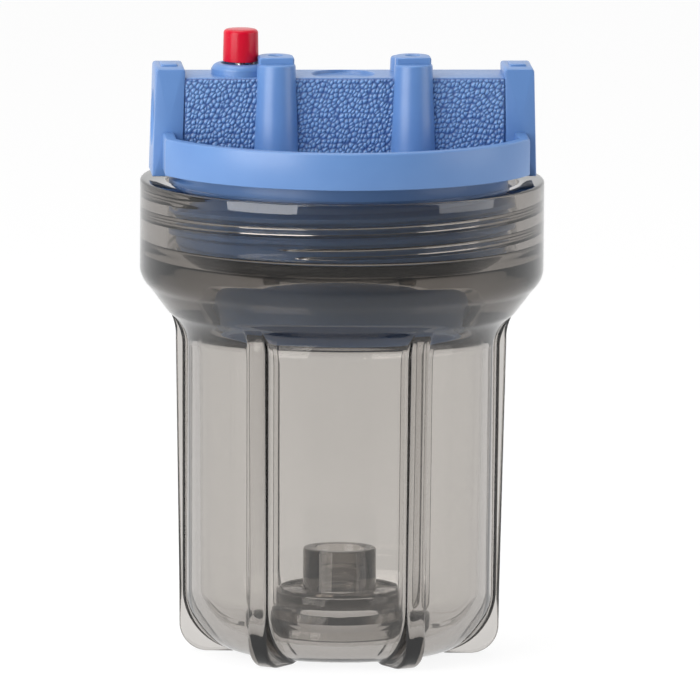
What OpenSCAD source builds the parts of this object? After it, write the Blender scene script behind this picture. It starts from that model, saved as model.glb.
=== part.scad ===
// Small cartridge filter housing, opened by unscrewing its clear bowl.
// Millimetres, +Z up, standing on the bowl's six feet, bowl axis on Z.
// The two ports face -X (inlet) and +X (outlet); the front is -Y.

/* [Overall] */
// height of the top of the cap's deck
deck_z = 169.4; // [150:0.1:200]
// outside radius of the bowl's threaded collar
collar_r = 58.75; // [50:0.05:70]
// height of the collar's rim
rim_z = 138.8; // [120:0.1:160]
// underside of the cap's round flange
flange_z = 142.8; // [125:0.1:165]

/* [Bowl] */
// outside radius of the bowl's wall between ribs
wall_r = 45.5; // [38:0.1:50]
// wall thickness of the bowl
wall_t = 4.1; // [3:0.1:7]
// outside radius of the ribs at the shoulder
rib_top_r = 48.1; // [46:0.1:52]
// outside radius of the ribs above the feet
rib_foot_r = 46.5; // [44:0.1:50]
// rib thickness
rib_w = 6.2; // [4:0.1:10]
// number of ribs
rib_n = 6; // [3:1:12]
// angle of the first rib from +X, with the bowl screwed home
rib_turn = -4.5; // [-30:0.5:30]
// height of the cartridge seat
seat_z = 18; // [12:0.5:30]
// radius of the cartridge seat
seat_r = 19; // [15:0.5:25]
// top of the centring post
post_z = 30.4; // [22:0.1:45]
// outside radius of the centring post
post_r = 10.7; // [8:0.1:14]
// bore radius of the centring post
post_bore_r = 7.1; // [4:0.1:9]

/* [Thread] */
// thread pitch, four to the inch
pitch = 6.35; // [4:0.05:8]
// crest radius of the cap's external thread
male_crest_r = 50.4; // [45:0.1:55]
// root radius of the cap's external thread
male_root_r = 48.2; // [44:0.1:54]
// root radius of the bowl's internal thread
female_root_r = 50.95; // [46:0.05:56]
// crest radius of the bowl's internal thread
female_crest_r = 48.9; // [44:0.1:54]
// turns of thread on the cap
male_turns = 2.3; // [1:0.05:4]
// turns of thread in the bowl
female_turns = 2; // [1:0.05:4]

/* [Cap] */
// half the depth of the port block
block_y = 10.5; // [9:0.1:20]
// half the length of the port block, to the foot of the outer faces
port_x = 55.8; // [50:0.1:70]
// how far the outer faces lean in from foot to top
end_lean = 0.8; // [0:0.1:2]
// thickness of the smooth end blocks along X
end_w = 8.6; // [6:0.1:14]
// top of the end blocks
end_z = 172; // [160:0.1:190]
// underside of the end blocks
end_foot_z = 140.7; // [139:0.1:150]
// radius of the curved band around the cap
band_r = 58.4; // [50:0.1:60]
// half the width of the curved band, to its flat ends
band_x = 52.9; // [45:0.1:58]
// top of the curved band
band_z = 153.6; // [145:0.1:160]
// thickness of the curved band
band_t = 3.4; // [2:0.1:6]
// floor of the pockets behind the band
pocket_z = 146.8; // [143:0.1:150]
// ceiling above the cartridge
ceiling_z = 143.9; // [142:0.1:148]
// height of the port axis
port_z = 157; // [150:0.1:165]
// tapped radius of the two ports, 3/8 inch pipe thread
port_r = 7.35; // [5:0.05:10]
// depth of the two ports
port_depth = 18; // [10:0.5:25]
// outside radius of the skirt inside the bowl
skirt_r = 36.5; // [30:0.1:40]
// lower edge of the skirt
skirt_z = 106; // [90:0.1:120]
// distance of the two bracket bosses from the axis
boss_x = 19.9; // [15:0.1:30]
// distance of the two bracket bosses in front of the axis
boss_y = 4; // [0:0.1:8]
// top of the bracket bosses
boss_z = 175.3; // [165:0.1:185]
// top of the four columns
column_z = 173.4; // [165:0.1:180]
// radius of the bracket screw holes
screw_r = 1.9; // [1:0.1:4]

/* [Relief valve] */
// distance of the valve from the axis
valve_x = 29.8; // [25:0.1:40]
// top of the raised ring around the button
ring_z = 172.7; // [169:0.1:175]
// underside of the button
button_z = 173.2; // [171.5:0.1:176]
// top of the button
button_top_z = 182.7; // [175:0.1:190]
// button radius
button_r = 5.2; // [4:0.05:8]
// height of the valve's seat
valve_seat_z = 162.8; // [160:0.1:166]
// stem radius
stem_r = 1.6; // [1:0.05:3]

/* [Hidden] */
$fn = 96;
eps = 0.01;
root_z = 121;
nose_z = 119.75;
groove_z = 116.25;
female_z = 123;
male_z = 124;
female_start = -129.5;
seal_mid_r = 46.3;
seal_sec_r = 1.74;
seal_bore_r = 48.05;
neck_z = 93.3;
foot_r = 8.2;
base_z = 0.8;

// one thread ridge: p is [radius, height] of its four corners, wound upwards from z0
module ridge(p, z0, turns, steps, start) {
    n = round(turns * steps);
    pts = [for (i = [0:n]) let (a = start + 360 * i / steps, h = z0 + pitch * i / steps,
        k = min(1, 0.12 + min(i, n - i) / (steps / 8)))
        for (q = p) let (r = p[0][0] + (q[0] - p[0][0]) * k)
        [r * cos(a), r * sin(a), h + q[1]]];
    sides = [for (i = [0:n - 1]) for (j = [0:3]) for (t = [0, 1])
        let (a = i * 4 + j, b = i * 4 + (j + 1) % 4)
        t == 0 ? [a, b, b + 4] : [a, b + 4, a + 4]];
    polyhedron(points = pts, faces = concat(sides, [[3, 2, 1, 0]], [[4 * n, 4 * n + 1, 4 * n + 2, 4 * n + 3]]),
        convexity = 8);
}

function arc(cx, cy, r, a0, a1, n) =
    [for (i = [0:n]) let (a = a0 + (a1 - a0) * i / n) [cx + r * cos(a), cy + r * sin(a)]];

// outline of the bowl's outside, from the axis at the base to the rim
outer_profile = concat(
    [[0, base_z]],
    arc(wall_r - 0.5 - 17.5, base_z + 17.5, 17.5, -90, 0, 8),
    arc(wall_r + 12, neck_z - 3, 12, 180, 125, 5),
    arc(collar_r - 7.7, 113.2, 7.7, -50, 0, 5),
    arc(collar_r - 0.8, rim_z - 0.8, 0.8, 0, 90, 3));

// outline of the bowl's inside, from the floor to the rim
inner_r = wall_r - wall_t;
inner_profile = concat(
    [[0, 5.2]],
    arc(inner_r - 0.8 - 14, 5.2 + 14, 14, -90, 0, 8),
    [[inner_r, 97], [inner_r + 0.3, 108], [inner_r + 0.8, 112], [45, groove_z - 0.4], [45.4, groove_z]],
    [[seal_bore_r, groove_z], [seal_bore_r, root_z - 0.8], [female_root_r, root_z], [female_root_r, rim_z - 0.8]],
    [[female_root_r + 0.8, rim_z], [female_root_r + 0.8, rim_z + 5], [0, rim_z + 5]]);

// rib outline in radius and height, its foot standing on the ground
rib_outline = concat(
    [[30, base_z + 2.5], [31.5, 0]],
    arc(rib_foot_r - foot_r, foot_r, foot_r, -90, 0, 6),
    arc(rib_top_r + 14, neck_z - 0.5, 14, 180, 150, 3),
    [[44, neck_z + 10], [44, neck_z], [42.6, 20], [36, 6]]);

module ribs() {
    for (i = [0:rib_n - 1])
        rotate([0, 0, rib_turn + 360 * i / rib_n])
            rotate([90, 0, 0])
                translate([0, 0, -rib_w / 2])
                    linear_extrude(rib_w)
                        polygon(rib_outline);
}

module bowl() {
    color([0.62, 0.58, 0.54, 0.5])
    union() {
        difference() {
            union() {
                rotate_extrude()
                    polygon(concat(outer_profile, [[0, rim_z]]));
                ribs();
            }
            rotate_extrude()
                polygon(inner_profile);
            rotate_extrude()
                polygon([[0, -1], [14.4, -1], [14, 11.8], [13, 12.8], [0, 12.8]]);
        }
        difference() {
            rotate_extrude()
                polygon([[0, 5], [27, 5], [26, 8.4], [22.4, 9.6], [21.6, 12.6], [19.6, 13.2], [seat_r, 14.2],
                    [seat_r, seat_z], [seat_r - 1, seat_z], [seat_r - 1.6, seat_z + 0.9],
                    [seat_r - 2.2, seat_z], [post_r, seat_z], [post_r, post_z - 0.6],
                    [post_r - 0.6, post_z], [0, post_z]]);
            rotate_extrude()
                polygon([[0, -1], [14.4, -1], [14, 11.8], [13, 12.8], [0, 12.8]]);
            translate([0, 0, seat_z - 0.6])
                cylinder(h = 30, r = post_bore_r);
        }
        ridge([[female_root_r + 0.5, 1.75], [female_crest_r, 0.75], [female_crest_r, -0.75],
            [female_root_r + 0.5, -1.75]], female_z, female_turns, 36, female_start);
    }
}

module bowl_seal_ring() {
    color([0.07, 0.07, 0.07])
    rotate_extrude()
        translate([seal_mid_r, (groove_z + nose_z) / 2])
            circle(r = seal_sec_r);
}

// end block that a port opens in, its outer face leaning in towards the top
module end_block() {
    difference() {
        rotate([90, 0, 0])
            translate([0, 0, -block_y])
                linear_extrude(2 * block_y)
                    polygon([[port_x - end_w, end_foot_z], [port_x, end_foot_z], [port_x - end_lean + 0.05, end_z - 1],
                        [port_x - end_lean - 0.9, end_z], [port_x - end_w - end_lean + 0.7, end_z],
                        [port_x - end_w - end_lean, end_z - 0.7]]);
        translate([port_x - end_w - 3, block_y - 2.5, end_z - 2.5])
            difference() {
                cube([end_w + 4, 4, 4]);
                rotate([0, 90, 0])
                    translate([0, 0, -1])
                        cylinder(h = end_w + 6, r = 2.5);
            }
    }
    translate([port_x - 7.6, -3.5, end_z - 1])
        cube([5, 9, 1.6]);
}

// screw boss with a flat front, between a column at the front and one at the back
module bracket_boss() {
    translate([0, -boss_y, pocket_z])
        cylinder(h = boss_z - pocket_z, r = 5.15);
    translate([-5.15, -10, pocket_z])
        cube([10.3, 10 - boss_y, boss_z - pocket_z]);
    for (s = [-1, 1])
        translate([0, s * 8.8, pocket_z - 0.5])
            cylinder(h = column_z - pocket_z + 0.5, r1 = 6.7, r2 = 5.55);
}

// flange with the curved band standing on it, cut flat at both ends, with a pocket in front and one behind
module flange_and_band() {
    difference() {
        intersection() {
            rotate_extrude()
                polygon([[44, flange_z], [band_r - 0.4, flange_z], [band_r, flange_z + 0.4], [band_r, band_z - 0.9],
                    [band_r - 0.3, band_z - 0.3], [band_r - 0.9, band_z], [44, band_z]]);
            translate([-band_x, -70, flange_z - 1])
                cube([2 * band_x, 140, 20]);
        }
        intersection() {
            translate([0, 0, pocket_z])
                cylinder(h = 20, r = band_r - band_t);
            translate([-band_x + band_t, -70, pocket_z])
                cube([2 * (band_x - band_t), 140, 20]);
        }
    }
}

// the drum that carries the thread, with its nose on the seal, and the skirt around the cartridge
module drum_and_skirt() {
    rotate_extrude()
        polygon([[0, ceiling_z], [skirt_r - 2.8, ceiling_z], [skirt_r - 2.8, skirt_z + 0.8], [skirt_r - 2, skirt_z],
            [skirt_r - 0.4, skirt_z], [skirt_r, skirt_z + 0.4], [skirt_r, 139], [42, 139], [42, nose_z],
            [47.5, nose_z], [47.5, root_z - 0.3], [male_root_r, root_z + 0.4], [male_root_r, pocket_z],
            [0, pocket_z]]);
}

// seat and nose that hold the cartridge's top
module cartridge_nose() {
    rotate_extrude()
        polygon([[0, 145], [0, 133], [11.2, 133], [12.2, 134.5], [12.2, 143.2], [16.4, 143.2], [17, 141.2],
            [17.6, 143.2], [19, 143.2], [19.6, 145]]);
}

module waterways() {
    for (s = [-1, 1]) {
        translate([s * (port_x + 1), 0, port_z])
            rotate([0, -s * 90, 0])
                cylinder(h = port_depth + 1, r = port_r);
        translate([s * (port_x + eps), 0, port_z])
            rotate([0, -s * 90, 0])
                cylinder(h = 1.4 + eps, r1 = port_r + 1.4, r2 = port_r);
    }
    translate([-port_x + port_depth - 1, 0, port_z])
        rotate([0, 90, 0])
            cylinder(h = 14.6, r = 5);
    translate([-valve_x - 3.9, -5, ceiling_z - 2])
        cube([7.8, 10, port_z - ceiling_z + 2]);
    rotate([0, 90, 0])
        translate([-port_z, 0, 0])
            cylinder(h = port_x - port_depth + 1, r = 5);
    translate([0, 0, 130])
        cylinder(h = port_z - 130 + 4.2, r = 8);
}

module relief_bore() {
    translate([-valve_x, 0, 0]) {
        translate([0, 0, 166.9])
            cylinder(h = 20, r = 5.45);
        translate([0, 0, 160])
            cylinder(h = 8, r = stem_r + 0.06);
        translate([0, 0, 160])
            cylinder(h = 4.6, r = 2.2);
        for (a = [0:120:240])
            rotate([0, 0, a])
                translate([1, -0.5, 164])
                    cube([1.6, 1, 4]);
        translate([0, 0, 156])
            cylinder(h = valve_seat_z - 156, r = 3.9);
    }
}

module cap() {
    color([0.36, 0.53, 0.80])
    difference() {
        union() {
            drum_and_skirt();
            cartridge_nose();
            flange_and_band();
            translate([-port_x + end_w - 0.5, -block_y, pocket_z - 1])
                cube([2 * (port_x - end_w) + 1, 2 * block_y, deck_z - pocket_z + 1]);
            end_block();
            mirror([1, 0, 0])
                end_block();
            for (s = [-1, 1])
                translate([s * boss_x, 0, 0])
                    bracket_boss();
            translate([-valve_x, 0, deck_z])
                rotate_extrude()
                    polygon(concat([[0, 0], [8.6, 0]], arc(6.3, ring_z - deck_z - 2.3, 2.3, 8, 90, 5),
                        [[0, ring_z - deck_z]]));
            ridge([[male_root_r - 0.5, -1.75], [male_crest_r, -0.75], [male_crest_r, 0.75],
                [male_root_r - 0.5, 1.75]], male_z, male_turns, 36,
                female_start - 360 * (female_z + pitch / 2 - male_z) / pitch);
        }
        waterways();
        relief_bore();
        translate([0, 0, deck_z - 1])
            cylinder(h = 3, r = 8.9);
        for (s = [-1, 1])
            translate([s * boss_x, -boss_y, boss_z - 10.5])
                cylinder(h = 12, r = screw_r);
    }
}

module relief_button() {
    color([0.75, 0.07, 0.16])
    translate([-valve_x, 0, 0])
        difference() {
            rotate_extrude()
                polygon(concat([[0, button_z], [button_r - 0.3, button_z], [button_r, button_z + 0.3]],
                    arc(button_r - 1.3, button_top_z - 1.2, 1.15, 0, 90, 4),
                    [[0, button_top_z]]));
            difference() {
                translate([0, 0, button_z - 1])
                    cylinder(h = 7, r = 4.35);
                cylinder(h = 200, r = 2.7);
            }
            translate([0, 0, button_z - 1])
                cylinder(h = 6.4, r = stem_r);
        }
}

module relief_stem() {
    color([0.75, 0.76, 0.78])
    translate([-valve_x, 0, 0])
        rotate_extrude()
            polygon([[0, 159.6], [3.1, 159.6], [3.4, 159.9], [3.4, 161], [stem_r, 161.2],
                [stem_r, button_z + 5.2], [stem_r - 0.2, button_z + 5.4], [0, button_z + 5.4]]);
}

module relief_seal_ring() {
    color([0.09, 0.09, 0.09])
    translate([-valve_x, 0, valve_seat_z - 0.81])
        rotate_extrude()
            translate([2.44, 0])
                circle(r = 0.8);
}

// round-wire spring between the cap and the underside of the button, ends closed flat
module relief_spring() {
    z0 = 167.34;
    z1 = button_z + 5.58;
    steps = 14;
    turns = 6.5;
    n = turns * steps;
    wire = 0.4;
    mid_r = 3.6;
    sides = 6;
    // height along the wire: one closed turn at each end
    function lift(t) = t < 1 ? t * 0.82 : t > turns - 1 ? (z1 - z0) - (turns - t) * 0.82
        : 0.82 + (t - 1) / (turns - 2) * ((z1 - z0) - 1.64);
    pts = [for (i = [0:n]) let (t = i / steps, a = 360 * t, h = z0 + lift(t))
        for (j = [0:sides - 1]) let (b = 360 * j / sides, r = mid_r + wire * cos(b))
        [r * cos(a), r * sin(a), h + wire * sin(b)]];
    quads = [for (i = [0:n - 1]) for (j = [0:sides - 1]) for (t = [0, 1])
        let (p = i * sides + j, q = i * sides + (j + 1) % sides)
        t == 0 ? [p, q, q + sides] : [p, q + sides, p + sides]];
    color([0.72, 0.73, 0.75])
    translate([-valve_x, 0, 0])
        polyhedron(points = pts, faces = concat(quads, [[for (j = [sides - 1:-1:0]) j]],
            [[for (j = [0:sides - 1]) n * sides + j]]), convexity = 10);
}

cap();
bowl();
bowl_seal_ring();
relief_button();
relief_spring();
relief_stem();
relief_seal_ring();
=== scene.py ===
import bpy
import bmesh
import math
import numpy as np
from mathutils import Matrix, Vector


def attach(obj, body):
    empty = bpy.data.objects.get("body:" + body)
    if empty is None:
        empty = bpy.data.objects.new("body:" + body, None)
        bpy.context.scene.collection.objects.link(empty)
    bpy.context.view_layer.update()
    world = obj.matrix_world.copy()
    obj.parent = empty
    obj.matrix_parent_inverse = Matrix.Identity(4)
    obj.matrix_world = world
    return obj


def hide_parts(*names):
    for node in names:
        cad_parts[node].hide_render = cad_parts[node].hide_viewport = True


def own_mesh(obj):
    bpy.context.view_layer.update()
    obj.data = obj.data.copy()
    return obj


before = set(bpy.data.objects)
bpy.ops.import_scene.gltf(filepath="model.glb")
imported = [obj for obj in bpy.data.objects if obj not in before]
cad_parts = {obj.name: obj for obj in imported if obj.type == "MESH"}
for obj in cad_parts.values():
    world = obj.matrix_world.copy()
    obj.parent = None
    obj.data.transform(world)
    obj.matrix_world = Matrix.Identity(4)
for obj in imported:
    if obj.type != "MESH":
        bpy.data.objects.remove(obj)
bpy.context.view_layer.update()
MM = 0.001
scene = bpy.context.scene

# ---------------------------------------------------------------- camera
YAW = math.radians(3.5)
ELEVATION = math.radians(8.0)
AIM = Vector((2.6 * math.cos(YAW) * MM, -2.6 * math.sin(YAW) * MM, 88.4 * MM))
DISTANCE = 7.0
ROLL = math.radians(0.42)
FIELD = 203.6 * MM

cam_data = bpy.data.cameras.new("camera")
cam_data.sensor_width = 36.0
cam_data.lens = 36.0 * DISTANCE / FIELD
cam_data.clip_end = 100
cam = bpy.data.objects.new("camera", cam_data)
scene.collection.objects.link(cam)
towards_camera = Vector((-math.sin(YAW) * math.cos(ELEVATION),
                         -math.cos(YAW) * math.cos(ELEVATION),
                         math.sin(ELEVATION)))
cam.location = AIM + DISTANCE * towards_camera
look = (AIM - cam.location).to_track_quat("-Z", "Y").to_matrix().to_4x4()
cam.matrix_world = Matrix.Translation(cam.location) @ look @ Matrix.Rotation(ROLL, 4, "Z")
scene.camera = cam

# ---------------------------------------------------------------- mesh helpers


def arc(cx, cy, r, a0, a1, n):
    """n + 1 points on an arc round (cx, cy), from angle a0 to a1 in degrees."""
    return [(cx + r * math.cos(math.radians(a0 + (a1 - a0) * i / n)),
             cy + r * math.sin(math.radians(a0 + (a1 - a0) * i / n))) for i in range(n + 1)]


def new_object(name, verts, faces, sharp=35.0, weld=2e-6):
    """Object from vertices and faces in metres, its doubled points welded and its normals outward."""
    mesh = bpy.data.meshes.new(name)
    mesh.from_pydata([tuple(v) for v in verts], [], faces)
    bm = bmesh.new()
    bm.from_mesh(mesh)
    bmesh.ops.remove_doubles(bm, verts=bm.verts, dist=weld)
    bmesh.ops.dissolve_degenerate(bm, edges=bm.edges, dist=weld)
    loose = [v for v in bm.verts if not v.link_faces]
    bmesh.ops.delete(bm, geom=loose, context="VERTS")
    bmesh.ops.recalc_face_normals(bm, faces=bm.faces)
    bm.to_mesh(mesh)
    bm.free()
    obj = bpy.data.objects.new(name, mesh)
    scene.collection.objects.link(obj)
    smooth(obj, sharp)
    return obj


def smooth(obj, angle):
    """Smooth shading that stays sharp on edges steeper than the angle, in degrees."""
    mesh = obj.data
    mesh.shade_smooth()
    mesh.set_sharp_from_angle(angle=math.radians(angle))


def grid_faces(rows, cols):
    """Quads of a rows x cols grid of vertices, stored row by row."""
    return [(r * cols + c, r * cols + c + 1, (r + 1) * cols + c + 1, (r + 1) * cols + c)
            for r in range(rows - 1) for c in range(cols - 1)]


def revolved(name, profile, centre=(0, 0), n=96, sharp=35.0):
    """Closed profile (radius, height) in mm turned about a vertical axis."""
    pts = list(profile) + [profile[0]]
    ang = [2 * math.pi * i / n for i in range(n + 1)]
    verts = [((centre[0] + r * math.cos(a)) * MM, (centre[1] + r * math.sin(a)) * MM, z * MM)
             for r, z in pts for a in ang]
    return new_object(name, verts, grid_faces(len(pts), n + 1), sharp)


def object_from(bm, name):
    """Object made from a bmesh, which is freed."""
    mesh = bpy.data.meshes.new(name)
    bm.to_mesh(mesh)
    bm.free()
    obj = bpy.data.objects.new(name, mesh)
    scene.collection.objects.link(obj)
    return obj


def rounded_box(name, lo, hi, r, seg=3, sharp=35.0):
    """Box from corner lo to corner hi in mm, with every edge rounded by r."""
    bm = bmesh.new()
    bmesh.ops.create_cube(bm, size=1.0)
    for v in bm.verts:
        v.co = Vector([(lo[i] + (hi[i] - lo[i]) * (v.co[i] + 0.5)) * MM for i in range(3)])
    if r:
        bmesh.ops.bevel(bm, geom=list(bm.edges), offset=r * MM, segments=seg, profile=0.5,
                        affect="EDGES", clamp_overlap=True)
    obj = object_from(bm, name)
    smooth(obj, sharp)
    return obj


def prism(name, outline, z0, z1, top_r, sharp=35.0):
    """Outline (x, y) in mm raised from z0 to z1 with a rounded top edge."""
    bm = bmesh.new()
    low = [bm.verts.new((x * MM, y * MM, z0 * MM)) for x, y in outline]
    base = bm.faces.new(low)
    top = bmesh.ops.extrude_face_region(bm, geom=[base])
    tv = [g for g in top["geom"] if isinstance(g, bmesh.types.BMVert)]
    for v in tv:
        v.co.z = z1 * MM
    bmesh.ops.recalc_face_normals(bm, faces=bm.faces)
    rim = [e for e in bm.edges if all(abs(v.co.z - z1 * MM) < 1e-7 for v in e.verts)]
    bmesh.ops.bevel(bm, geom=rim, offset=top_r * MM, segments=3, profile=0.5, affect="EDGES")
    obj = object_from(bm, name)
    smooth(obj, sharp)
    return obj


def cylinder(name, centre, axis, length, r, n=64, r2=None):
    """Closed cylinder or cone from its foot's centre along axis, in mm."""
    r2 = r if r2 is None else r2
    rot = Vector((0, 0, 1)).rotation_difference(Vector(axis)).to_matrix()
    verts = []
    for h, rad in ((0, 0), (0, r), (length, r2), (length, 0)):
        for i in range(n + 1):
            a = 2 * math.pi * i / n
            p = rot @ Vector((rad * math.cos(a), rad * math.sin(a), h)) + Vector(centre)
            verts.append(tuple(p * MM))
    return new_object(name, verts, grid_faces(4, n + 1))


def combine(base, others, operation):
    """Boolean of base with each of the others, which are used up."""
    for other in others:
        mod = base.modifiers.new("join", "BOOLEAN")
        mod.operation = operation
        mod.solver = "EXACT"
        mod.object = other
        deps = bpy.context.evaluated_depsgraph_get()
        mesh = bpy.data.meshes.new_from_object(base.evaluated_get(deps))
        base.modifiers.remove(mod)
        old = base.data
        base.data = mesh
        bpy.data.meshes.remove(old)
        bpy.data.objects.remove(other)
    return base


# ---------------------------------------------------------------- materials


class Nodes:
    """Short names for building a node tree."""

    def __init__(self, name):
        self.mat = bpy.data.materials.new(name)
        self.mat.use_nodes = True
        self.tree = self.mat.node_tree
        self.bsdf = self.tree.nodes["Principled BSDF"]
        self.out = self.tree.nodes["Material Output"]

    def add(self, kind, **values):
        node = self.tree.nodes.new(kind)
        for key, value in values.items():
            setattr(node, key, value)
        return node

    def link(self, a, b):
        self.tree.links.new(a, b)

    def coords(self):
        return self.add("ShaderNodeTexCoord").outputs["Object"]

    def noise(self, scale, detail=4.0, rough=0.55, vector=None):
        n = self.add("ShaderNodeTexNoise")
        n.inputs["Scale"].default_value = scale
        n.inputs["Detail"].default_value = detail
        n.inputs["Roughness"].default_value = rough
        self.link(vector or self.coords(), n.inputs["Vector"])
        return n.outputs["Fac"]

    def ranged(self, value, lo, hi, out_lo, out_hi):
        m = self.add("ShaderNodeMapRange")
        for k, v in zip(("From Min", "From Max", "To Min", "To Max"), (lo, hi, out_lo, out_hi)):
            m.inputs[k].default_value = v
        self.link(value, m.inputs["Value"])
        return m.outputs["Result"]

    def two_colours(self, fac, a, b):
        m = self.add("ShaderNodeMix", data_type="RGBA")
        m.inputs["A"].default_value = (*a, 1)
        m.inputs["B"].default_value = (*b, 1)
        self.link(fac, m.inputs["Factor"])
        return m.outputs["Result"]

    def bump(self, height, strength, distance, normal=None):
        b = self.add("ShaderNodeBump")
        b.inputs["Strength"].default_value = strength
        b.inputs["Distance"].default_value = distance
        self.link(height, b.inputs["Height"])
        if normal is not None:
            self.link(normal, b.inputs["Normal"])
        return b.outputs["Normal"]

    def set(self, **values):
        for key, value in values.items():
            self.bsdf.inputs[key.replace("_", " ")].default_value = value


def moulded(name, dark, light, rough_lo, rough_hi, spec=0.5, grain=0.06, coat=0.0):
    """Moulded plastic or rubber: a faint cloud in its colour, fine grain in its roughness and bump."""
    m = Nodes(name)
    co = m.coords()
    cloud = m.noise(55, 3, 0.5, co)
    m.link(m.two_colours(m.ranged(cloud, 0.3, 0.7, 0, 1), dark, light), m.bsdf.inputs["Base Color"])
    fine = m.noise(900, 3, 0.6, co)
    m.link(m.ranged(fine, 0.3, 0.7, rough_lo, rough_hi), m.bsdf.inputs["Roughness"])
    m.link(m.bump(fine, grain, 0.0002), m.bsdf.inputs["Normal"])
    m.set(IOR=1.5, Specular_IOR_Level=spec, Coat_Weight=coat, Coat_Roughness=0.08)
    return m


BLUE_DARK, BLUE_LIGHT = (0.098, 0.205, 0.445), (0.112, 0.228, 0.475)
blue = moulded("cap_blue", BLUE_DARK, BLUE_LIGHT, 0.30, 0.38, 0.5, 0.05).mat


def pebbled_blue():
    """The cap's blue with painted shade: darker down in the grooves of the grain, lighter on the domes."""
    m = Nodes("cap_blue_pebbled")
    groove_shade = m.add("ShaderNodeAttribute", attribute_name="groove_shade").outputs["Fac"]
    co = m.coords()
    fine = m.noise(900, 3, 0.6, co)
    # painted shade: the dark blue goes down in the grooves, where shade falls, and the light blue on the domes
    m.link(m.two_colours(groove_shade, (0.045, 0.098, 0.27), (0.155, 0.30, 0.56)), m.bsdf.inputs["Base Color"])
    m.link(m.ranged(fine, 0.3, 0.7, 0.30, 0.42), m.bsdf.inputs["Roughness"])
    m.link(m.bump(fine, 0.1, 0.0002), m.bsdf.inputs["Normal"])
    m.set(IOR=1.5)
    return m.mat


pebbled = pebbled_blue()
red = moulded("button_red", (0.50, 0.003, 0.020), (0.56, 0.005, 0.026), 0.20, 0.28, 0.22, 0.02, 0.0).mat
rubber = moulded("seal_black", (0.012, 0.012, 0.013), (0.028, 0.027, 0.026), 0.35, 0.55, 0.4, 0.2).mat


def drawn_steel():
    """Bright drawn wire and rod."""
    m = Nodes("valve_steel")
    co = m.coords()
    fine = m.noise(1400, 2, 0.5, co)
    m.link(m.two_colours(m.noise(120, 3, 0.5, co), (0.55, 0.55, 0.56), (0.68, 0.68, 0.69)),
           m.bsdf.inputs["Base Color"])
    m.link(m.ranged(fine, 0.3, 0.7, 0.2, 0.34), m.bsdf.inputs["Roughness"])
    m.set(Metallic=1.0)
    return m.mat


steel = drawn_steel()


def smoke_clear():
    """Clear plastic with a warm smoke tint, a little less tinted on its surface up at the collar."""
    m = Nodes("bowl_smoke_clear")
    co = m.coords()
    m.link(m.ranged(m.noise(70, 3, 0.5, co), 0.3, 0.75, 0.0, 0.004), m.bsdf.inputs["Roughness"])
    m.link(m.bump(m.noise(22, 2, 0.4, co), 0.01, 0.002), m.bsdf.inputs["Normal"])
    height = m.add("ShaderNodeSeparateXYZ")
    m.link(co, height.inputs["Vector"])
    collar = m.ranged(height.outputs["Z"], 0.098, 0.116, 0, 1)
    m.link(m.two_colours(collar, (0.925, 0.912, 0.895), (0.985, 0.98, 0.975)), m.bsdf.inputs["Base Color"])
    m.set(Transmission_Weight=1.0, IOR=1.54, Specular_IOR_Level=0.42)
    volume = m.add("ShaderNodeVolumeAbsorption")
    volume.inputs["Color"].default_value = (0.645, 0.625, 0.605, 1)
    volume.inputs["Density"].default_value = 190.0
    m.link(volume.outputs["Volume"], m.out.inputs["Volume"])
    return m.mat


clear = smoke_clear()


def finish_piece(obj, mat, body, nodes=()):
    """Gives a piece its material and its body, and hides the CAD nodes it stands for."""
    obj.data.materials.clear()
    obj.data.materials.append(mat)
    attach(obj, body)
    if nodes:
        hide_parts(*nodes)
    return obj


# ---------------------------------------------------------------- bowl
PITCH = 6.35
WALL_R, WALL_T, RIB_W = 45.5, 4.1, 6.2
INNER_R = WALL_R - WALL_T
COLLAR_R, RIM_Z, NECK_Z, BASE_Z = 58.75, 138.8, 93.3, 0.8
RIB_TURN, START, SEAL_R = -4.5, -129.5, 48.05


def along(points, n):
    """n + 1 points evenly spaced along a polyline."""
    p = np.array(points, float)
    d = np.concatenate([[0], np.cumsum(np.hypot(*np.diff(p, axis=0).T))])
    t = np.linspace(0, d[-1], n + 1)
    return list(zip(np.interp(t, d, p[:, 0]), np.interp(t, d, p[:, 1])))


def thread_rows(theta, root, crest, z0, start, turns, z_lo, z_hi, top_down):
    """Radius and height of the thread's outline at one angle, in degrees."""
    flank = ((-1.7, 0), (-1.35, 0.22), (-0.85, 0.86), (-0.5, 1))
    shape = flank + tuple((-dz, amp) for dz, amp in reversed(flank))
    rows = [(root, z_lo)]
    for k in range(-1, 4):
        phi = theta - start + 360 * k
        fade = min(1.0, max(0.0, min(phi, 360 * turns - phi) / 40.0))
        fade = fade * fade * (3 - 2 * fade)
        zc = z0 + PITCH * phi / 360
        for dz, amp in shape:
            z = min(z_hi, max(z_lo, zc + dz))
            live = fade if z_lo < zc + dz < z_hi else 0.0
            rows.append((root + (crest - root) * amp * live, z))
    rows.append((root, z_hi))
    return rows[::-1] if top_down else rows


def bowl_columns():
    """(rib, kind, value, inset, outset) of each column: t is a distance from a rib's middle, g a share of
    the gap between two ribs."""
    h, e, f = RIB_W / 2, 0.9, 0.8
    half = [("t", 1.2, 0.0, None), ("t", h - e, 0.0, None)]
    half += [("t", h - e + e * math.sin(a), e - e * math.cos(a), None)
             for a in (math.radians(v) for v in (22.5, 45, 67.5, 90))]
    half += [("t", h + f - f * math.cos(a), None, f - f * math.sin(a))
             for a in (math.radians(v) for v in (0, 22.5, 45, 67.5, 90))]
    cols = []
    for k in range(6):
        cols.append((k, "t", 0.0, 0.0, None))
        cols += [(k, *c) for c in half]
        cols += [(k, "g", i / 18, None, 0.0) for i in range(1, 18)]
        cols += [(k + 1, "t", -c[1], c[2], c[3]) for c in reversed(half)]
    cols.append((6, "t", 0.0, 0.0, None))
    return cols, h + f


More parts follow.
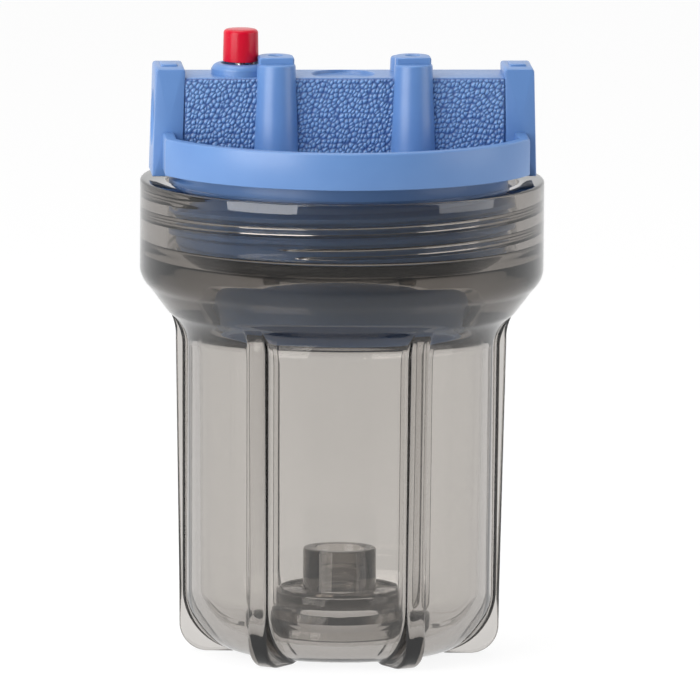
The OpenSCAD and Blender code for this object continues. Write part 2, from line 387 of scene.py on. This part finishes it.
def bowl_angle(col, reach, r):
    """Angle in degrees of a column at radius r."""
    r = max(r, 29.4)
    k, kind, value = col[:3]
    if kind == "t":
        return RIB_TURN + 60.0 * k + math.degrees(math.asin(value / r))
    edge = math.degrees(math.asin(reach / r))
    return RIB_TURN + 60.0 * k + edge + (60.0 - 2 * edge) * value


def build_bowl():
    """Bowl as one skin of columns: up the outside over walls and ribs, and down the inside to the post."""
    cols, reach = bowl_columns()
    bottom = [(0, 12.8), (12.4, 12.8), (13.4, 12.3), (13.95, 11.4), (14.35, 1.5), (14.9, BASE_Z), (22, BASE_Z)]
    wall_corner = along(arc(27.5, BASE_Z + 17.5, 17.5, -88.5, 0, 44), 34)
    rib_corner = along([(28.2, 0.83), (29.3, 0.7), (30.4, 0.15), (31.0, 0)] + arc(38.3, 8.2, 8.2, -90, 0, 26)
                       + [(46.62, BASE_Z + 17.5)], 34)
    wall_up = [(45.0 + 0.5 * i / 8, 18.3 + (90.3 - 18.3) * i / 8) for i in range(1, 9)]
    rib_up = [(46.62 + (48.06 - 46.62) * i / 8, 18.3 + (90.3 - 18.3) * i / 8) for i in range(1, 9)]
    shoulder = arc(WALL_R + 12, 90.3, 12, 180, 125, 24) + arc(COLLAR_R - 7.7, 113.2, 7.7, -50, 0, 24)
    rib_neck = [(48.06, 89.4)] + arc(62.1, NECK_Z - 0.5, 14, 180, 148, 24)
    s = np.array(shoulder)
    q = np.array(rib_neck)
    zs = np.linspace(90.9, 113.2, 36)
    wall_sh = [(float(np.interp(z, s[:, 1], s[:, 0])), float(z)) for z in zs]
    rib_sh = [(max(w[0], float(np.interp(w[1], q[:, 1], q[:, 0])) if w[1] < q[-1, 1] else 0), w[1])
              for w in wall_sh]
    top = [(COLLAR_R, z) for z in (118, 124, 130, 135)] + arc(COLLAR_R - 0.8, RIM_Z - 0.8, 0.8, 0, 90, 5)
    wall = bottom + wall_corner + wall_up + wall_sh + top
    rib = bottom + rib_corner + rib_up + rib_sh + top
    inner_top = [(51.9, RIM_Z), (51.6, RIM_Z - 0.12), (50.95 + 0.1, RIM_Z - 0.8)]
    below = [(50.95, 121.1), (50.7, 120.85), (48.4, 120.3), (48.1, 120.15), (SEAL_R, 119.9), (SEAL_R, 116.5),
             (47.85, 116.25), (45.5, 116.25), (45.1, 116.0)]
    below += [(44.7, 115.5), (42.5, 112.3), (42.2, 111.6), (41.9, 109.5), (41.6, 106), (INNER_R, 96),
              (INNER_R - 0.4, 58)]
    below += arc(INNER_R - 0.8 - 14, 5.2 + 14, 14, 0, -90, 18) + [(26.5, 5.2)]
    below += [(26.4, 5.5), (26.0, 6.2), (25.9, 7.9), (25.4, 8.45), (23, 9.2), (22.2, 9.7), (21.7, 12.2),
              (21.2, 12.75), (19.7, 13.2), (19.05, 13.9), (19, 17.5), (18.8, 17.9), (18.1, 18.0), (17.4, 18.85),
              (16.7, 18.05), (11.6, 18), (10.9, 18.25), (10.72, 19), (10.6, 29.9), (10.3, 30.35), (9.9, 30.4),
              (7.6, 30.4), (7.25, 30.3), (7.1, 29.9), (7.05, 18.2), (6.6, 17.5), (5.8, 17.4), (0, 17.4)]
    verts = []
    for col in cols:
        inset, outset = col[3], col[4]
        line = []
        for w, p in zip(wall, rib):
            d = math.hypot(w[0] - p[0], w[1] - p[1])
            if d < 1e-6:
                u = 1.0
            else:
                room = min(1.0, d / 1.75)
                u = inset * room / d if inset is not None else 1.0 - outset * room / d
            line.append((p[0] + (w[0] - p[0]) * u, p[1] + (w[1] - p[1]) * u))
        ring = [(bowl_angle(col, reach, r), r, z) for r, z in line]
        a_in = bowl_angle(col, reach, 51.0)
        ring += [(a_in, r, z) for r, z in inner_top]
        ring += [(a_in, r, z) for r, z in
                 thread_rows(a_in, 50.95, 48.9, 123.0, START, 2.0, 121.2, 137.8, True)]
        ring += [(a_in, r, z) for r, z in below]
        verts.append([(r * math.cos(math.radians(a)) * MM, r * math.sin(math.radians(a)) * MM, z * MM)
                      for a, r, z in ring])
    rows = len(verts[0])
    flat = [verts[c][r] for r in range(rows) for c in range(len(cols))]
    return new_object("bowl_clear", flat, grid_faces(rows, len(cols)), 40.0)


finish_piece(build_bowl(), clear, "sump", ["bowl"])

# ---------------------------------------------------------------- cap
BLOCK_Y, BLOCK_X, PORT_X, DECK_Z, POCKET_Z = 10.5, 46.4, 55.8, 169.4, 146.8
PORT_Z, FLANGE_Z, BAND_R, BAND_X, BAND_Z = 157.0, 142.8, 58.4, 52.9, 153.6
VALVE_X, BOSS_X, BOSS_Y, BOSS_Z, COLUMN_Z = 29.8, 19.9, 4.0, 175.3, 173.4


def inlet_drop():
    """Slot by which the water goes down from the inlet passage, as a solid to cut away."""
    return rounded_box("drop", (-VALVE_X - 3.9, -5, 140), (-VALVE_X + 3.9, 5, PORT_Z), 0)


def build_drum(n=220):
    """Drum with its thread, skirt and nose, turned about the axis around the outlet bore."""
    inside = [(8, 133), (11.0, 133), (11.6, 133.25), (12.2, 134.4), (12.2, 142.8), (12.5, 143.2), (16.4, 143.2),
              (16.95, 141.3), (17.05, 141.3), (17.6, 143.2), (19, 143.2), (19.6, 143.9), (33.2, 143.9),
              (33.7, 143.4), (33.7, 106.8), (33.95, 106.25), (34.5, 106.0), (36.0, 106.0), (36.35, 106.15),
              (36.5, 106.5), (36.5, 138.5), (37, 139), (41.5, 139), (42, 138.5), (42, 120.15), (42.4, 119.75),
              (47.2, 119.75), (47.4, 119.85), (47.5, 120.1), (47.5, 120.7), (48.0, 121.2), (48.2, 121.6)]
    outside = [(48.2, 142.5), (48.2, POCKET_Z - 0.1), (8, POCKET_Z - 0.1)]
    verts = []
    for i in range(n + 1):
        a = 360.0 * i / n
        thread = thread_rows(a, 48.2, 50.4, 124.0, START - 123.31, 2.3, 121.9, 142.4, False)
        line = inside + thread + outside + inside[:1]
        verts.append([(r * math.cos(math.radians(a)) * MM, r * math.sin(math.radians(a)) * MM, z * MM)
                      for r, z in line])
    rows = len(verts[0])
    flat = [verts[c][r] for r in range(rows) for c in range(n + 1)]
    drum = new_object("cap_drum", flat, grid_faces(rows, n + 1), 35.0)
    combine(drum, [inlet_drop()], "DIFFERENCE")
    smooth(drum, 35.0)
    return drum


def cut_disc(r, half, corner, n=40):
    """Outline of a disc of radius r cut flat at half to either side, its four corners rounded."""
    cx = half - corner
    cy = math.sqrt((r - corner) ** 2 - cx ** 2)
    b = math.degrees(math.atan2(cy, cx))
    return (arc(0, 0, r, b - 180, -b, n)
            + arc(cx, -cy, corner, -b, 0, 5)[1:] + arc(cx, cy, corner, 0, b, 5)[:-1]
            + arc(0, 0, r, b, 180 - b, n)
            + arc(-cx, cy, corner, 180 - b, 180, 5)[1:] + arc(-cx, -cy, corner, 180, 180 + b, 5)[:-1])


def build_band():
    """Flange and the band standing on it, as one shell of stacked outlines."""
    layers = [(44.0, FLANGE_Z, 0)]
    layers += [(d, z, 1) for d, z in ((0.45, FLANGE_Z), (0.12, FLANGE_Z + 0.12), (0.0, FLANGE_Z + 0.45))]
    layers += [(0.0, BAND_Z - 0.95, 1), (0.12, BAND_Z - 0.42, 1), (0.42, BAND_Z - 0.12, 1), (0.95, BAND_Z, 1)]
    layers += [(2.8, BAND_Z, 1), (3.2, BAND_Z - 0.15, 1), (3.4, BAND_Z - 0.6, 1), (3.5, POCKET_Z + 0.8, 1),
               (4.2, POCKET_Z, 1), (44.0, POCKET_Z, 0)]
    rows = []
    for d, z, full in layers:
        if full:
            line = cut_disc(BAND_R - d, BAND_X - d, max(0.3, 1.5 - d if d < 2 else 1.0))
        else:
            line = [(d * x / math.hypot(x, y), d * y / math.hypot(x, y))
                    for x, y in cut_disc(BAND_R, BAND_X, 1.5)]
        rows.append([(x * MM, y * MM, z * MM) for x, y in line + line[:1]])
    rows.append(rows[0])
    cols = len(rows[0])
    return new_object("band", [v for row in rows for v in row], grid_faces(len(rows), cols), 35.0)


def build_end(s):
    """End block: its outline in x and z, rounded at the top, stacked along y with softened edges."""
    x0, x1, z0, z1 = PORT_X - 8.6, PORT_X, 140.7, 172.0
    lean, c = 0.8, 0.8
    line = [(x0 + 0.1, z0), (x0, z0 + 0.1), (x0 - lean, z1 - c)]
    line += arc(x0 - lean + c, z1 - c, c, 180, 90, 4)[1:]
    line += arc(x1 - lean - 0.9, z1 - 0.9, 0.9, 90, 0, 4)
    line += [(x1, z0 + 0.15), (x1 - 0.15, z0)]
    cx, cz, rows = (x0 + x1 - lean) / 2, (z0 + z1) / 2, []
    for y, inset in ((-BLOCK_Y, 0), (-BLOCK_Y, 0.55), (-BLOCK_Y + 0.16, 0.16), (-BLOCK_Y + 0.55, 0.0),
                     (BLOCK_Y - 0.8, 0.0), (BLOCK_Y - 0.23, 0.23), (BLOCK_Y, 0.8), (BLOCK_Y, 0)):
        kx, kz = 1 - inset / 4.3, 1 - inset / 15.6
        rows.append([(s * (cx + kx * (x - cx)) * MM, y * MM, (cz + kz * (z - cz)) * MM)
                     for x, z in line + line[:1]])
    for i in (0, -1):
        rows[i] = [(s * cx * MM, rows[i][0][1], cz * MM)] * len(rows[i])
    return new_object("end", [v for row in rows for v in row], grid_faces(len(rows), len(line) + 1))


def boss_outline(x):
    """Outline of a screw boss: round behind and flat in front."""
    back = arc(x, -BOSS_Y, 5.15, 0, 180, 24)
    return back + [(x - 5.15, -9.5), (x - 4.65, -10.0), (x + 4.65, -10.0), (x + 5.15, -9.5)]


def cap_cutters():
    """What is bored out of the head: ports, passages, screw holes, relief valve and the deck's recess."""
    cuts = [cylinder("outlet_bore", (0, 0, 120), (0, 0, 1), 41.2, 8.0)]
    for s in (-1, 1):
        cuts.append(revolve_port(s))
        screw = [(0, 164.8), (1.9, 164.8), (1.9, 174.9), (2.5, 175.4), (2.5, 180), (0, 180)]
        cuts.append(revolved("screw", screw, (s * BOSS_X, -BOSS_Y), 40))
    cuts.append(cylinder("in_passage", (-40, 0, PORT_Z), (1, 0, 0), 15.8, 5.0))
    cuts.append(cylinder("out_passage", (40, 0, PORT_Z), (-1, 0, 0), 40, 5.0))
    cuts.append(inlet_drop())
    relief = [(0, 156), (3.9, 156), (3.9, 162.8), (2.2, 162.8), (2.2, 164.6), (1.66, 164.6), (1.66, 166.9),
              (5.45, 166.9), (5.45, 172.2), (5.75, 172.75), (5.75, 190), (0, 190)]
    cuts.append(revolved("relief", relief, (-VALVE_X, 0), 64))
    recess = [(0, 168.4), (8.6, 168.4), (8.85, 168.6), (8.95, 169.0), (9.3, 169.45), (9.3, 180), (0, 180)]
    cuts.append(revolved("recess", recess, (0, 0), 96))
    return cuts


def spans(obj):
    """Lowest and highest value of an object's mesh along X, Y and Z."""
    places = [v.co for v in obj.data.vertices]
    return [(min(p[i] for p in places), max(p[i] for p in places)) for i in range(3)]


def overlaps(box, other):
    """True if two boxes from spans() run into each other."""
    return all(lo < top and bottom < hi for (lo, hi), (bottom, top) in zip(box, other))


def build_cap():
    """Band, port block, end blocks, bosses, columns and the button's ring, bored and put together."""
    parts = [rounded_box("block", (-BLOCK_X - 1.4, -BLOCK_Y + 0.9, POCKET_Z - 1),
                         (BLOCK_X + 1.4, BLOCK_Y - 0.9, DECK_Z), 0.3)]
    for s in (-1, 1):
        parts.append(build_end(s))
        p0, p1 = sorted((s * 48.25, s * 53.15))
        parts.append(rounded_box("pad", (p0, -3.4, 171), (p1, 5.4, 172.6), 0.45, 3))
        parts.append(prism("boss", boss_outline(s * BOSS_X), POCKET_Z - 0.5, BOSS_Z, 0.5))
        for t in (-1, 1):
            column = [(0, POCKET_Z - 0.7), (6.7, POCKET_Z - 0.7), (5.58, COLUMN_Z - 0.7)]
            column += arc(4.95, COLUMN_Z - 0.6, 0.6, 0, 90, 4) + [(0, COLUMN_Z)]
            parts.append(revolved("column", column, (s * BOSS_X, t * 8.8), 72))
    parts.append(revolved("ring", [(0, DECK_Z - 1), (8.55, DECK_Z - 1), (8.58, DECK_Z + 1.6)]
                          + arc(6.28, 170.4, 2.3, 6, 84, 9) + [(6.2, 172.7), (0, 172.7)], (-VALVE_X, 0), 96))
    band = build_band()
    bm = bmesh.new()
    bm.from_mesh(band.data)
    bpy.data.objects.remove(band)
    for part in parts:
        box = spans(part)
        near = []
        for cut in cap_cutters():
            if overlaps(spans(cut), box):
                near.append(cut)
            else:
                bpy.data.objects.remove(cut)
        if near:
            combine(part, near, "DIFFERENCE")
        bm.from_mesh(part.data)
        bpy.data.objects.remove(part)
    core = object_from(bm, "cap_moulded")
    smooth(core, 32.0)
    return core


def revolve_port(s):
    """Port bore with its chamfer and the roots of a pipe thread, as a solid to cut away."""
    depth, n = 18.0, 72
    outline = [(0, -2), (8.75, -2), (8.75, 0), (7.95, 0.8)]
    pitch, rows = 1.41, []
    for i in range(9):
        z = 1.2 + i * pitch
        rows += [(7.35, z), (7.95, z + pitch * 0.5)]
    outline += rows + [(7.35, 1.2 + 9 * pitch), (7.35, depth - 0.6), (6.8, depth), (0, depth)]
    ang = [2 * math.pi * i / n for i in range(n + 1)]
    verts = [(s * (PORT_X - h) * MM, r * math.cos(a) * MM, (PORT_Z + r * math.sin(a)) * MM)
             for r, h in outline + [outline[0]] for a in ang]
    return new_object("port", verts, grid_faces(len(outline) + 1, n + 1))


finish_piece(build_cap(), blue, "head", ["cap"])
finish_piece(build_drum(), blue, "head", ["cap"])


def pebble_height(u, v, seed, cell=1.27):
    """Rounded pebbles with narrow grooves between them, 0 to 1, at points u, v in mm."""
    rng = np.random.RandomState(seed)
    uu = u - 0.34 * v
    gx, gy = uu / (cell * 0.92), v / (cell * 1.16)
    ix, iy = np.floor(gx).astype(int), np.floor(gy).astype(int)
    jitter = rng.rand(2, 512, 512) * 0.86 + 0.07
    size = rng.rand(512, 512)
    best = np.full(u.shape, 9.0)
    second = np.full(u.shape, 9.0)
    tall = np.zeros(u.shape)
    for dx in (-2, -1, 0, 1, 2):
        for dy in (-2, -1, 0, 1, 2):
            cx, cy = ix + dx, iy + dy
            jx, jy = jitter[0, cx % 512, cy % 512], jitter[1, cx % 512, cy % 512]
            d = np.hypot(cx + jx - gx, cy + jy - gy)
            nearer = d < best
            second = np.where(nearer, best, np.minimum(second, d))
            tall = np.where(nearer, size[cx % 512, cy % 512], tall)
            best = np.where(nearer, d, best)
    edge = np.clip((second - best) / 0.5, 0, 1)
    dome = np.sqrt(edge) * np.clip(1.12 - 1.6 * best ** 2, 0.25, 1)
    return dome * (0.72 + 0.28 * tall)


def build_grain(name, side):
    """Pebbled skin on the front (side -1) or the back (side 1) of the port block."""
    step, x_half, z_lo, z_hi = 0.19, BLOCK_X + 0.1, POCKET_Z - 0.4, DECK_Z - 0.25
    xs = np.arange(-x_half, x_half + step / 2, step)
    zs = np.arange(z_lo, z_hi + step / 2, step)
    gx, gz = np.meshgrid(xs, zs)
    h = pebble_height(gx + 100, gz, 7 if side < 0 else 11)
    top = np.clip((z_hi - gz) / 0.5, 0, 1)
    side_fade = np.clip((x_half - np.abs(gx)) / 0.5, 0, 1)
    y_face = BLOCK_Y - 0.48 + (0.56 * h - 0.06) * side_fade * np.sqrt(top)
    y_face -= 0.35 * (1 - np.sqrt(np.clip(top, 0, 1)))
    rows, cols = gx.shape
    front = [(x * MM, side * y * MM, z * MM) for x, y, z in zip(gx.ravel(), y_face.ravel(), gz.ravel())]
    back = [(x * MM, side * (BLOCK_Y - 1.4) * MM, z * MM) for x, z in zip(gx.ravel(), gz.ravel())]
    faces = grid_faces(rows, cols)
    n = rows * cols
    edge = ([c for c in range(cols)] + [r * cols + cols - 1 for r in range(1, rows)]
            + [(rows - 1) * cols + c for c in range(cols - 2, -1, -1)]
            + [r * cols for r in range(rows - 2, 0, -1)])
    ring = [n + i for i in range(len(edge))]
    verts = front + [back[i] for i in edge]
    for i in range(len(edge)):
        j = (i + 1) % len(edge)
        faces.append((edge[i], edge[j], ring[j], ring[i]))
    faces.append(tuple(reversed(ring)))
    obj = new_object(name, verts, faces, 80.0)
    # painted shade for the cap's pebbled blue: 0 down in the grooves, rising to 1 on the domes
    groove_shade_attr = obj.data.attributes.new("groove_shade", "FLOAT", "POINT")
    level = np.array([v.co.y for v in obj.data.vertices]) * side / MM
    groove_shade_attr.data.foreach_set("value", np.clip((level - (BLOCK_Y - 0.48)) / 0.40, 0, 1).astype(np.float32))
    return obj


for label, side in (("cap_grain_front", -1), ("cap_grain_back", 1)):
    finish_piece(build_grain(label, side), pebbled, "head", ["cap"])

# ---------------------------------------------------------------- seal ring and relief valve


def torus(name, centre, ring_r, sec_r, n=180, m=24):
    """Ring of round section about a vertical axis, in mm."""
    pts = [(ring_r + sec_r * math.cos(2 * math.pi * j / m), centre[2] + sec_r * math.sin(2 * math.pi * j / m))
           for j in range(m)]
    return revolved(name, pts, centre[:2], n, 60.0)


finish_piece(torus("bowl_o_ring", (0, 0, 118.0), 46.3, 1.74), rubber, "seal",
             ["bowl_seal_ring"])
finish_piece(torus("stem_o_ring", (-VALVE_X, 0, 161.99), 2.44, 0.8, 64, 16), rubber, "valve",
             ["relief_seal_ring"])


def build_button():
    """Press button: a cup with a tube inside that grips the stem."""
    z0, z1, r = 173.2, 182.7, 5.2
    outline = [(0, z0 + 5.6), (1.6, z0 + 5.4), (1.6, z0 + 0.2), (1.8, z0), (2.5, z0), (2.7, z0 + 0.2),
               (2.7, z0 + 5.8), (2.9, z0 + 6), (4.15, z0 + 6), (4.35, z0 + 5.8), (4.35, z0 + 0.2), (4.5, z0),
               (5.0, z0), (5.18, z0 + 0.08), (r, z0 + 0.3)]
    outline += arc(5.05 - 1.15, z1 - 1.3, 1.15, 0, 78, 7)
    outline += [(2.6, z1 - 0.06), (1.2, z1), (0, z1)]
    return revolved("button_red_cap", outline, (-VALVE_X, 0), 96, 40.0)


finish_piece(build_button(), red, "valve", ["relief_button"])


def build_stem():
    """Stem with the disc that carries the small seal ring."""
    outline = [(0, 159.6), (3.1, 159.6), (3.35, 159.7), (3.4, 159.95), (3.4, 160.9), (3.3, 161.05),
               (1.65, 161.2), (1.6, 161.4), (1.6, 178.3), (1.45, 178.55), (0, 178.6)]
    return revolved("valve_stem", outline, (-VALVE_X, 0), 48, 40.0)


finish_piece(build_stem(), steel, "valve", ["relief_stem"])


def build_spring():
    """Coil spring with a closed turn at each end."""
    z0, z1, turns, wire, mid, sides, steps = 167.34, 178.78, 6.5, 0.4, 3.6, 10, 40
    n = int(turns * steps)
    verts, faces = [], []
    for i in range(n + 1):
        t = i / steps
        if t < 1:
            h = t * 0.82
        elif t > turns - 1:
            h = (z1 - z0) - (turns - t) * 0.82
        else:
            h = 0.82 + (t - 1) / (turns - 2) * ((z1 - z0) - 1.64)
        a = 2 * math.pi * t
        for j in range(sides):
            b = 2 * math.pi * j / sides
            r = mid + wire * math.cos(b)
            verts.append(((-VALVE_X + r * math.cos(a)) * MM, r * math.sin(a) * MM,
                          (z0 + h + wire * math.sin(b)) * MM))
    for i in range(n):
        for j in range(sides):
            p, q = i * sides + j, i * sides + (j + 1) % sides
            faces.append((p, q, q + sides, p + sides))
    faces.append(tuple(range(sides - 1, -1, -1)))
    faces.append(tuple(n * sides + j for j in range(sides)))
    return new_object("valve_spring", verts, faces, 50.0)


spring = build_spring()
finish_piece(spring, steel, "head", ["relief_spring"])
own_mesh(spring)

# ---------------------------------------------------------------- floor and light


def build_floor():
    """Plain pale floor that glows softly, less so well in front of the object, towards -Y."""
    size = 40.0
    obj = new_object("floor", [(-size, -size, 0), (size, -size, 0), (size, size, 0), (-size, size, 0)],
                     [(0, 1, 2, 3)])
    m = Nodes("floor_pale")
    m.link(m.two_colours(m.noise(0.8, 2, 0.5), (0.13, 0.13, 0.13), (0.14, 0.14, 0.14)),
           m.bsdf.inputs["Base Color"])
    m.set(Roughness=0.9, Specular_IOR_Level=0.1)
    m.bsdf.inputs["Emission Color"].default_value = (1, 1, 1, 1)
    place = m.add("ShaderNodeSeparateXYZ")
    m.link(m.add("ShaderNodeTexCoord").outputs["Object"], place.inputs["Vector"])
    m.link(m.ranged(place.outputs["Y"], -0.45, -0.15, 0.35, 0.88), m.bsdf.inputs["Emission Strength"])
    obj.data.materials.append(m.mat)
    return obj


build_floor()


def area_light(name, place, target, width, height, power, colour=(1, 1, 1)):
    """Rectangular soft light at a place in metres, turned to its target."""
    data = bpy.data.lights.new(name, "AREA")
    data.shape = "RECTANGLE"
    data.size, data.size_y, data.energy, data.color = width, height, power, colour
    obj = bpy.data.objects.new(name, data)
    scene.collection.objects.link(obj)
    obj.location = place
    obj.rotation_euler = (Vector(target) - Vector(place)).to_track_quat("-Z", "Y").to_euler()
    return obj


area_light("key_left", (-0.53, -0.46, 0.40), (0, 0, 0.14), 0.62, 0.74, 7.6)
area_light("fill_right", (0.66, -0.23, 0.38), (0, 0, 0.14), 0.55, 0.70, 2.6)
area_light("top", (-0.2, 0.1, 1.1), (0, 0, 0.1), 0.7, 0.7, 4.5)

world = bpy.data.worlds.new("studio")
world.use_nodes = True
tree = world.node_tree
split = tree.nodes.new("ShaderNodeSeparateXYZ")
tree.links.new(tree.nodes.new("ShaderNodeTexCoord").outputs["Generated"], split.inputs["Vector"])
fade = tree.nodes.new("ShaderNodeMapRange")
for key, value in (("From Min", -0.25), ("From Max", 0.45), ("To Min", 0.10), ("To Max", 0.95)):
    fade.inputs[key].default_value = value
tree.links.new(split.outputs["Y"], fade.inputs["Value"])
tree.nodes["Background"].inputs["Color"].default_value = (1, 1, 1, 1)
tree.links.new(fade.outputs["Result"], tree.nodes["Background"].inputs["Strength"])
scene.world = world
scene.view_settings.view_transform = "Standard"
